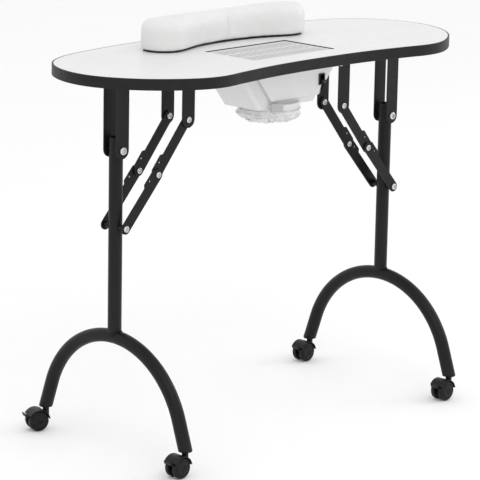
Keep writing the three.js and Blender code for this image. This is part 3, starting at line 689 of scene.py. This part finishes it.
def fill_box(obj, low, high, proud):
    """Stretches a pad to stand proud of a box by a little, but for its underside."""
    places = [v.co for v in obj.data.vertices]
    target_low = Vector((low.x - proud, low.y - proud, low.z))
    target_high = Vector((high.x + proud, high.y + proud, high.z + proud))
    for axis in range(3):
        least = min(p[axis] for p in places)
        scale = (target_high[axis] - target_low[axis]) / (max(p[axis] for p in places) - least)
        for place in places:
            place[axis] = target_low[axis] + (place[axis] - least) * scale


def cushion():
    low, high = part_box("wrist_cushion")
    pad = cushion_blank()
    remesh(pad, CUSHION_VOXEL)
    inflate(pad, low.z + CUSHION_HELD, CUSHION_CAP)
    relax = pad.modifiers.new("relax", "SMOOTH")
    relax.factor = 0.5
    relax.iterations = 3
    finer = pad.modifiers.new("finer", "SUBSURF")
    finer.levels = finer.render_levels = 2
    apply_all(pad)
    fill_box(pad, low, high, CUSHION_PROUD)
    for vertex in pad.data.vertices:
        draw_in(vertex.co, low, high)
    pad.data.materials.clear()
    pad.data.materials.append(MATERIALS["white_vinyl"])
    pad.data.shade_smooth()
    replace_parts(pad, "wrist_cushion")
    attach(pad, "table")
    cushion_seam(pad, low, high)
    refine("cushion_base", 0.6 * MM, 2)


def draw_in(place, low, high):
    """Moves a point of the pad: sunk by the seam down its front, and rippled."""
    away = (place.x - SEAM_X - SEAM_LEAN * (place.z - low.z)) / SEAM_WIDTH
    if place.y < (low.y + high.y) / 2 and abs(away) < SEAM_REACH:
        fade = clamp((high.z - SEAM_END - place.z) / SEAM_FADE)
        depth = SEAM_DEPTH * fade * math.exp(-away * away)
        place.y += depth
        place.z -= SEAM_SINK * depth
    ripple = noise.noise(place * RIPPLE_SCALE) * RIPPLE
    place.z += ripple * clamp((place.z - low.z) / RIPPLE_FADE)
    place.z = max(place.z, low.z)


def cushion_seam(pad, low, high):
    """The two folded lips of the seam that runs down the front of the pad."""
    tree = BVHTree.FromObject(pad, bpy.context.evaluated_depsgraph_get())
    for label, shift in (("left", -LIP_SHIFT), ("right", LIP_SHIFT)):
        places = []
        for k in range(LIP_STEPS):
            share = k / (LIP_STEPS - 1)
            z = low.z + LIP_START + share * (high.z - low.z - LIP_START - LIP_END)
            x = SEAM_X + SEAM_LEAN * (z - low.z) + shift
            found = tree.ray_cast(Vector((x, low.y - 0.1, z)), Vector((0, 1, 0)))[0]
            if found is not None:
                point = found + Vector((0, LIP_SINK, 0))
                places.append((point, Vector((1, 0, 0)), Vector((0, 1, 0))))
        bm = bmesh.new()
        sweep(bm, places, circle_section(LIP, 8))
        piece(f"cushion_seam_{label}", bm, "white_vinyl", "table")


# ---- dust collector ----
COLLECTOR_SCREW_INSET = 6 * MM
COLLECTOR_SCREW_BELOW = 12 * MM
COLLECTOR_SCREW = (3.4 * MM, 2.0 * MM)  # radius and height


def screw(bm, place, radius, height):
    """A pan head with a round recess, facing down."""
    head = round_corners(
        [(0, 0), (radius, 0), (radius, 0.55 * height, 1), (0.55 * radius, height, 1),
         (0.3 * radius, height), (0.22 * radius, 0.35 * height), (0, 0.3 * height)],
        0.5 * radius)
    lathe(bm, head, facing(place, (0, 0, -1)), 24)


def dust_collector():
    for node in ("collector_housing", "collector_front_panel"):
        refine(node, 1.1 * MM, 3)
    latch = refine("bag_collar_latch", 0.8 * MM, 3)
    latch.data.materials[0] = LATCH_GREY
    refine("switch_bezel", 0.6 * MM, 3)
    refine("switch_rocker", 0.5 * MM, 3)
    refine("power_inlet", 0.4 * MM, 2, 40)
    refine("fan_bracket", 0.3 * MM, 2)
    refine("fan_motor", 0.5 * MM, 2)
    refine("fan_impeller", 0.3 * MM, 2)

    low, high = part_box("collector_housing")
    xs = (low.x + COLLECTOR_SCREW_INSET, high.x - COLLECTOR_SCREW_INSET)
    ys = (low.y + COLLECTOR_SCREW_INSET, high.y - COLLECTOR_SCREW_INSET)
    for i, (x, y) in enumerate((x, y) for y in ys for x in xs):
        bm = bmesh.new()
        screw(bm, Vector((x, y, high.z - COLLECTOR_SCREW_BELOW)), *COLLECTOR_SCREW)
        piece(f"collector_screw_{i + 1}", bm, "bright_steel", "table")


BAG_AROUND = 400
BAG_DOWN = 56
# Where the frill and the elastic end, in shares of the way from the bag's hem to its middle below.
FRILL = 0.10
ELASTIC = 0.16
ELASTIC_HEIGHT = 1.6 * MM
ELASTIC_PINCH = 1.6  # how far the elastic draws the cloth in, in mm
BELLY = 3.2  # how far the cloth swells out again below it, in mm
ROUNDNESS = 0.42  # lower is fuller at the foot of the bag
SAG = 0.9
OUT = (9.0, 4.0, -2.2)  # mm outward for a lump, a crumple and a fold
RISE = (8.0, 3.5, 1.6)  # mm upward for the same
SQUASH = 0.2  # share that is left of what would hang below the CAD bag


def dust_bag():
    low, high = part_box("dust_bag")
    radius = (high.x - low.x) / 2
    centre = Vector(((low.x + high.x) / 2, (low.y + high.y) / 2, 0))
    bm = bmesh.new()
    rings = []
    for j in range(BAG_DOWN + 1):
        ring = []
        for i in range(BAG_AROUND):
            angle = 2 * math.pi * i / BAG_AROUND
            direction = Vector((math.cos(angle), math.sin(angle), 0))
            point = bag_point(direction, j / BAG_DOWN, radius, high.z, high.z - low.z)
            ring.append(bm.verts.new(centre + point))
        rings.append(ring)
    join_rings(bm, rings)
    bm.faces.new(rings[-1])
    bag = piece("gathered_dust_bag", bm, "white_cloth", "table", sharp=180, level=False)
    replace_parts(bag, "dust_bag")


def crease(place, width):
    """A narrow valley, 1 at its bottom, where the noise passes through zero."""
    return math.exp(-(noise.noise(place) / width) ** 2)


def bag_pleats(direction):
    """The gathers round the bag, from -1.7 to 1.7: 27 and 17 round it, unevenly spaced."""
    angle = math.atan2(direction.y, direction.x)
    many = math.sin(27 * angle + 5 * noise.noise(direction * 3))
    few = math.sin(17 * angle + 6 * noise.noise(direction * 5 + Vector((4, 1, 2))))
    return many + 0.7 * few


def bag_relief(direction, v):
    """How much of a lump, a crumple and a fold the cloth has at a point."""
    drift = Vector((0, 0, 3.2 * v))
    lump = noise.noise(direction * 2.7 + drift + Vector((2, 5, 0)))
    crumple = noise.noise(direction * 7 + drift * 3)
    fold = crease(direction * 2.6 + drift * 1.2, 0.09) + crease(direction * 4.0 - drift * 1.5, 0.08)
    return lump, crumple, fold


def bag_point(direction, v, radius, top, drop):
    """A point of the bag: v runs from the frill over the elastic, down and in under the bag."""
    pleats = bag_pleats(direction)
    if v < FRILL:
        t = v / FRILL
        reach = radius + (1.0 - 2.2 * t + pleats * (1.1 * (1 - t) + 0.4)) * MM
        height = top + (1.0 + pleats * 0.4) * (1 - t) * MM
    elif v < ELASTIC:
        reach = radius + (pleats * 0.5 - ELASTIC_PINCH) * MM
        height = top - (v - FRILL) / (ELASTIC - FRILL) * ELASTIC_HEIGHT
    else:
        relief = bag_relief(direction, v)
        t = (v - ELASTIC) / (1 - ELASTIC)
        turn = t * math.pi / 2
        belly = min(1.0, t * 5)
        reach = radius + (BELLY * belly - ELASTIC_PINCH) * MM
        reach *= max(math.cos(turn), 0.01) ** ROUNDNESS
        reach += sum(a * b for a, b in zip(OUT, relief)) * belly * MM
        reach += pleats * (1 - t) ** 3 * MM
        height = top - ELASTIC_HEIGHT - (drop - 2 * MM) * math.sin(turn) ** SAG
        height += sum(a * b for a, b in zip(RISE, relief)) * min(1.0, 1.6 * t) * MM
        lowest = top - drop
        if height < lowest:  # clear of the folded leg
            height = lowest - SQUASH * (lowest - height)
    return Vector((direction.x * reach, direction.y * reach, height))


# ---- legs ----
TUBE = 12.5 * MM  # radius, outside
TUBE_BORE = 11 * MM  # radius, inside
ARCH_RADIUS = 177 * MM
ARCH_LEAN = math.radians(19)
ARCH_STEPS = 84
BORE_DEPTH = 30 * MM
WELD_BEAD = 1.7 * MM
WELD_STEPS = 160
WELD_RIPPLE = 0.10
WELD_LOWEST = 3.5 * MM  # least height of the bead above the arch's axis


def arch_places(x, crown, foot):
    """The bent tube's axis: an arc with a straight length on each end."""
    centre = crown - ARCH_RADIUS
    bend = centre + ARCH_RADIUS * math.sin(ARCH_LEAN)
    straight = (bend - foot) / math.cos(ARCH_LEAN)
    places = []
    for k in range(ARCH_STEPS + 1):
        angle = ARCH_LEAN + (math.pi - 2 * ARCH_LEAN) * k / ARCH_STEPS
        spoke = Vector((0, math.cos(angle), math.sin(angle)))
        point = Vector((x, 0, centre)) + spoke * ARCH_RADIUS
        places.append((point, Vector((1, 0, 0)), spoke))
    ends = []
    for (point, side, spoke), sign in ((places[0], 1), (places[-1], -1)):
        down = Vector((0, math.sin(ARCH_LEAN) * sign, -math.cos(ARCH_LEAN)))
        ends.append((point + down * straight, side, spoke))
    return [ends[0], *places, ends[1]]


def leg(side):
    body = f"{side}_leg"
    low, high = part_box(f"{side}_leg_arch")
    x = (low.x + high.x) / 2
    crown = high.z - TUBE
    leg_arch(side, x, crown, low.z, body)
    leg_upright(side, x, crown, body)
    weld(side, x, crown, body)


def leg_arch(side, x, crown, foot, body):
    """The bent tube, with both ends cut level."""
    bm = bmesh.new()
    rings = sweep(bm, arch_places(x, crown, foot), circle_section(TUBE, 40))
    for ring in (rings[0], rings[-1]):
        for vertex in ring:
            slope = math.tan(ARCH_LEAN) * (1 if vertex.co.y > 0 else -1)
            vertex.co.y += (vertex.co.z - foot) * slope
            vertex.co.z = foot
    arch = piece(f"smooth_{side}_leg_arch", bm, "black_steel", body)
    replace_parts(arch, f"{side}_leg_arch")


def leg_upright(side, x, crown, body):
    """The straight tube, open at its top."""
    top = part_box(f"{side}_leg_upright")[1].z
    bm = bmesh.new()
    profile = round_corners([
        (TUBE - 1.5 * MM, crown), (TUBE, crown), (TUBE, top, 1), (TUBE_BORE, top, 1),
        (TUBE_BORE, top - BORE_DEPTH), (0, top - BORE_DEPTH),
    ], 0.6 * MM)
    lathe(bm, profile, Matrix.Translation((x, 0, 0)), 44)
    upright = piece(f"smooth_{side}_leg_upright", bm, "black_steel", body)
    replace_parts(upright, f"{side}_leg_upright")


def weld(side, x, crown, body):
    """The weld bead on the saddle where the upright meets the arch."""
    line = []
    for k in range(WELD_STEPS):
        angle = 2 * math.pi * k / WELD_STEPS
        rise = max(TUBE * abs(math.sin(angle)), WELD_LOWEST)
        line.append(Vector((
            x + TUBE * math.cos(angle), TUBE * math.sin(angle), crown + rise)))
    places = []
    for k, point in enumerate(line):
        along = (line[(k + 1) % len(line)] - line[k - 1]).normalized()
        out = Vector((point.x - x, point.y, 0)).normalized()
        up = along.cross(out).normalized()
        ripple = 1 + WELD_RIPPLE * math.sin(k * 2 * math.pi / 5)
        places.append((point, out * ripple, up * ripple))
    bm = bmesh.new()
    sweep(bm, places, circle_section(WELD_BEAD, 12), closed=True)
    piece(f"{side}_weld_bead", bm, "black_steel", body)


# ---- brackets, braces and their pins ----
DOME_STEPS = 6
DOME_EDGE = 0.3  # share of a head's height that is straight
DOME_FLAT = 0.64  # share of its radius where the dome ends
BOLT_SHANK = 4 * MM
BOLT_RADIUS = 7.2 * MM
BOLT_HEAD = 4 * MM
RIVET_SHANK = 3 * MM
RIVET_RADIUS = 5.7 * MM
RIVET_HEAD = 2.4 * MM
FAR_HEAD = 2.2 * MM
PIN_SHANK = 4 * MM
PIN_RADIUS = 6 * MM
PIN_HEAD = 3 * MM
PIN_PLAY = 0.3 * MM
BRACKET_WEB = 2.5 * MM
BRACKET_SCREW = (3.6 * MM, 2.2 * MM)
BRACKET_SCREW_SHARES = (0.28, 0.72)  # of the bracket's depth


def dome(radius, height):
    """Profile of a domed head on z = 0, with a ring pressed into it round a low boss."""
    points = [(0, 0), (radius, 0), (radius, DOME_EDGE * height)]
    for k in range(1, DOME_STEPS + 1):
        angle = k / DOME_STEPS * math.pi / 2
        points.append((
            (DOME_FLAT + (1 - DOME_FLAT) * math.cos(angle)) * radius,
            (DOME_EDGE + (1 - DOME_EDGE) * math.sin(angle)) * height))
    return points + [
        (0.58 * radius, 0.9 * height), (0.54 * radius, 0.12 * height), (0.28 * radius, 0.1 * height),
        (0.22 * radius, 0.5 * height), (0, 0.58 * height)]


def pin(node, shank, radius, head, sides, both_heads=True):
    """A pin from its CAD box: a shank, a domed head on -Y and, with both_heads, one on +Y."""
    low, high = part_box(node)
    x, z = (low.x + high.x) / 2, (low.z + high.z) / 2
    near = low.y + head
    far = high.y - (head if both_heads else 0)
    shank_sides, head_sides = sides
    bm = bmesh.new()
    rod(bm, shank, far - near, facing((x, near, z), (0, 1, 0)), shank_sides)
    lathe(bm, dome(radius, head), facing((x, near, z), (0, -1, 0)), head_sides)
    if both_heads:
        lathe(bm, dome(radius, head), facing((x, far, z), (0, 1, 0)), head_sides)
    obj = piece(f"smooth_{node}", bm, "bright_steel", BODY_OF[node])
    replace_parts(obj, node)


def brace(side):
    refine(f"{side}_hinge_bracket", 0.7 * MM, 3)
    refine(f"{side}_brace_bracket", 0.7 * MM, 3)
    pin(f"{side}_hinge_bolt", BOLT_SHANK, BOLT_RADIUS, BOLT_HEAD, (32, 40))
    cross_pin(side)
    for end in ENDS:
        name = f"{side}_{end}"
        refine(f"{name}_upper_arm", 0.5 * MM, 2)
        refine(f"{name}_lower_arm", 0.5 * MM, 2)
        rivet = (RIVET_SHANK, RIVET_RADIUS, RIVET_HEAD, (28, 32))
        pin(f"{name}_top_rivet", *rivet)
        pin(f"{name}_middle_rivet", *rivet, both_heads=False)
        far_head(name, f"{name}_upper_arm" if end == "front" else f"{name}_lower_arm")
    for bracket in ("hinge", "brace"):
        bracket_screws(side, bracket)


def far_head(name, arm):
    """The middle rivet's other head, on the +Y face of the arm that its CAD solid leaves bare."""
    low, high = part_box(f"{name}_middle_rivet")
    place = Vector(((low.x + high.x) / 2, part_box(arm)[1].y, (low.z + high.z) / 2))
    bm = bmesh.new()
    lathe(bm, dome(RIVET_RADIUS, FAR_HEAD), facing(place, (0, 1, 0)), 32)
    piece(f"{name}_middle_far_head", bm, "bright_steel", BODY_OF[arm])


def cross_pin(side):
    """A bright pin through the upright, with a black spacer on each side."""
    node = f"{side}_cross_pin"
    low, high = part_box(node)
    x, z = (low.x + high.x) / 2, (low.z + high.z) / 2
    shank_end = high.y - PIN_HEAD
    start = TUBE + PIN_PLAY
    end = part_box(f"{side}_rear_lower_arm")[0].y - PIN_PLAY
    metal = bmesh.new()
    spacers = bmesh.new()
    for direction in (-1, 1):
        turn = facing((x, 0, z), (0, direction, 0))
        rod(metal, PIN_SHANK, shank_end, turn, 36)
        face = facing((x, direction * shank_end, z), (0, direction, 0))
        lathe(metal, dome(PIN_RADIUS, PIN_HEAD), face, 36)
        spacer = round_corners([
            (PIN_SHANK, start), (PIN_RADIUS, start, 1), (PIN_RADIUS, end, 1), (PIN_SHANK, end),
            (PIN_SHANK, start),
        ], 0.6 * MM)
        lathe(spacers, spacer, turn, 36)
    body = BODY_OF[node]
    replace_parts(piece(f"smooth_{node}", metal, "bright_steel", body), node)
    piece(f"{side}_pin_spacers", spacers, "black_steel", body)


def bracket_screws(side, bracket):
    low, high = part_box(f"{side}_{bracket}_bracket")
    for i, share in enumerate(BRACKET_SCREW_SHARES):
        y = low.y + share * (high.y - low.y)
        bm = bmesh.new()
        screw(bm, Vector(((low.x + high.x) / 2, y, high.z - BRACKET_WEB)), *BRACKET_SCREW)
        piece(f"{side}_{bracket}_screw_{i + 1}", bm, "bright_steel", "table")


# ---- castors ----
WHEEL = 19 * MM  # radius
WHEEL_WIDTH = 10 * MM
WHEEL_GAP = 10 * MM
AXLE = 3 * MM
STEM_HOLE = 4.3 * MM
INSERT_FLANGE = 2 * MM
BRAKE_LIFT = math.radians(25)
RIBS = 3
RIB_START = 3.2 * MM  # from the tread
RIB_PITCH = 2.0 * MM
RIB_HALF = 6.5 * MM
RIB_HEIGHT = 2 * MM
RIB = 0.5 * MM


def wheel_profile():
    """One wheel from its inner face out to the hub cap."""
    y0, y1 = WHEEL_GAP / 2, WHEEL_GAP / 2 + WHEEL_WIDTH
    tread = [(AXLE, y0), (WHEEL - 1 * MM, y0, 1), (WHEEL, y0 + 1 * MM, 1), (WHEEL, y1 - 3 * MM, 1)]
    shoulder = [(WHEEL - 2.6 * MM, y1 - 0.4 * MM, 1), (WHEEL - 4.2 * MM, y1 - 0.2 * MM, 1)]
    groove = [(WHEEL - 4.8 * MM, y1 - 1.2 * MM), (WHEEL - 5.6 * MM, y1 - 1.2 * MM)]
    disc = [(WHEEL - 6.2 * MM, y1 - 0.3 * MM, 1), (8 * MM, y1, 1), (4.6 * MM, y1)]
    hub = [(4.2 * MM, y1 - 0.9 * MM), (3.4 * MM, y1 - 0.9 * MM), (2.8 * MM, y1, 1), (0, y1)]
    return round_corners(tread + shoulder + groove + disc + hub, 1.2 * MM)


def castor_matrix(name):
    """From the castor's own frame, wheel centre at the origin and trailing along -X."""
    roll = JOINTS[f"{name}_roll"]
    axle = Vector(roll["axis"])
    side = axle.cross(UP)
    return Matrix.Translation(roll["pos_m"]) @ Matrix((
        (side.x, axle.x, 0, 0), (side.y, axle.y, 0, 0), (0, 0, 1, 0), (0, 0, 0, 1)))


def castor(name):
    matrix = castor_matrix(name)
    bm = bmesh.new()
    for direction in (-1, 1):
        turn = matrix @ facing((0, 0, 0), (0, direction, 0))
        lathe(bm, wheel_profile(), turn, 56)
    half = WHEEL_GAP / 2 + MM
    rod(bm, AXLE, 2 * half, matrix @ facing((0, -half, 0), (0, 1, 0)), 24)
    pair = piece(f"smooth_{name}_wheels", bm, "black_nylon", f"{name}_wheels")
    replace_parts(pair, f"{name}_castor_wheels")
    refine(f"{name}_castor_hood", 0.5 * MM, 2)
    refine(f"{name}_castor_brake", 0.5 * MM, 2)
    brake_ribs(name, matrix)
    castor_insert(name)


def castor_insert(name):
    """The flanged plug in the tube's end, bored for the castor's stem."""
    low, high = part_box(f"{name}_castor_insert")
    flange = low.z + INSERT_FLANGE
    profile = round_corners([
        (STEM_HOLE, low.z), (TUBE, low.z, 1), (TUBE, flange, 0.3), (TUBE / 2, flange),
        (TUBE / 2, high.z), (STEM_HOLE, high.z), (STEM_HOLE, low.z),
    ], 1.4 * MM)
    middle = Matrix.Translation(((low.x + high.x) / 2, (low.y + high.y) / 2, 0))
    bm = bmesh.new()
    lathe(bm, profile, middle, 40)
    insert = piece(f"smooth_{name}_insert", bm, "black_nylon", BODY_OF[f"{name}_castor_insert"])
    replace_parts(insert, f"{name}_castor_insert")


def brake_ribs(name, matrix):
    """Grip ribs across the top of the brake lever, which points out and up from the wheels."""
    lifted = matrix @ Matrix.Rotation(BRAKE_LIFT, 4, "Y")
    turn = lifted.to_3x3()
    for i in range(RIBS):
        out = -(WHEEL + RIB_START + i * RIB_PITCH)
        places = [
            (lifted @ Vector((out, y, RIB_HEIGHT)), turn @ Vector((1, 0, 0)), turn @ UP)
            for y in (-RIB_HALF, RIB_HALF)
        ]
        bm = bmesh.new()
        sweep(bm, places, circle_section(RIB, 10))
        piece(f"{name}_brake_rib_{i + 1}", bm, "black_nylon", f"{name}_brake")


# ---- floor and light ----
FLOOR_HALF = 30
FLOOR_BELOW = 0.2 * MM


def area_light(name, place, target, size, power):
    data = bpy.data.lights.new(name, "AREA")
    data.shape = "RECTANGLE"
    data.size, data.size_y = size
    data.energy = power
    light = bpy.data.objects.new(name, data)
    light.location = place
    light.rotation_euler = (Vector(target) - Vector(place)).to_track_quat("-Z", "Y").to_euler()
    bpy.context.scene.collection.objects.link(light)


def studio():
    bm = bmesh.new()
    bmesh.ops.create_grid(bm, x_segments=1, y_segments=1, size=FLOOR_HALF)
    mesh = bpy.data.meshes.new("floor")
    bm.to_mesh(mesh)
    bm.free()
    mesh.materials.append(floor_paint())
    floor = bpy.data.objects.new("floor", mesh)
    floor.location.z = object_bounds()[0][2] - FLOOR_BELOW
    bpy.context.scene.collection.objects.link(floor)
    floor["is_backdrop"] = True

    world = bpy.data.worlds.new("studio")
    world.use_nodes = True
    background = world.node_tree.nodes["Background"]
    background.inputs["Color"].default_value = (1, 1, 1, 1)
    background.inputs["Strength"].default_value = 1.0
    bpy.context.scene.world = world
    area_light("key", (-1.6, -2.6, 3.2), (0, 0, 0.4), (2.2, 2.2), 26)
    area_light("side", (3.0, -1.2, 1.8), (0, 0, 0.5), (1.4, 2.0), 16)
    bpy.context.scene.view_settings.view_transform = "Standard"
    bpy.context.scene.view_settings.look = "None"


make_camera()
paint_cad_nodes()
worktop()
cushion()
dust_collector()
dust_bag()
for side_name in SIDES:
    leg(side_name)
    brace(side_name)
for castor_name in CASTORS:
    castor(castor_name)
studio()
